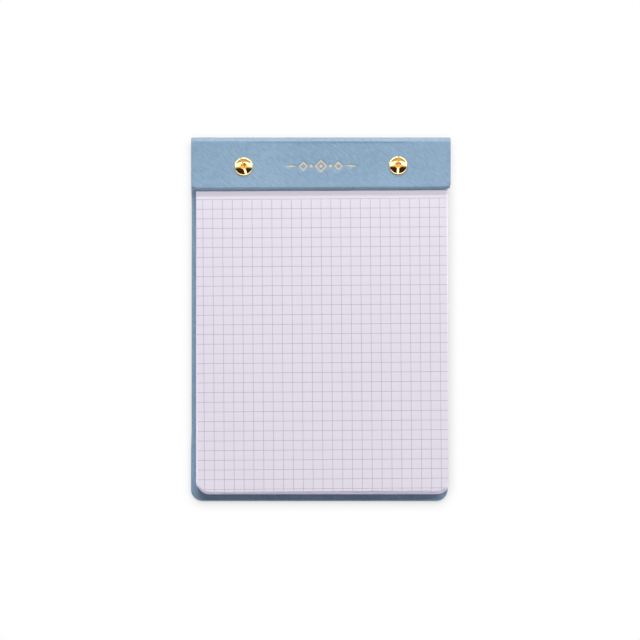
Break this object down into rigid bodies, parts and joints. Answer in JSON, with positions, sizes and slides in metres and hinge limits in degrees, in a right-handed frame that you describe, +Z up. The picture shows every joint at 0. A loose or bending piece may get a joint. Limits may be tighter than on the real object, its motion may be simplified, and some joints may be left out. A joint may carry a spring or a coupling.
{
  "type": "memo pad",
  "caption": "Top-bound memo pad: a leatherette-wrapped board cover folds over a block of squared sheets as a short flap, held by domed slotted binding screws.",
  "frame": {"origin": "centre of the pad's outline, on the plane of its back face", "axes": "+X to the right across the sheets, +Y along the sheets towards the spine, +Z up off the written side"},
  "size_m": [0.1318, 0.1856, 0.0138],
  "materials": {
    "leatherette": "grained matt",
    "lining": "matt",
    "greyboard": "matt",
    "paper": "uncoated, printed with 5 mm squares",
    "brass": "polished",
    "foil": "bright foil"
  },
  "bodies": {
    "root": {"cover_wrap": "leatherette", "cover_lining": "lining", "back_board": "greyboard", "spine_board": "greyboard", "flap_board": "greyboard", "page_block": "paper", "post_left": "brass", "post_right": "brass", "screw_left": "brass", "screw_right": "brass", "foil_ornament": "foil"}
  },
  "joints": []
}
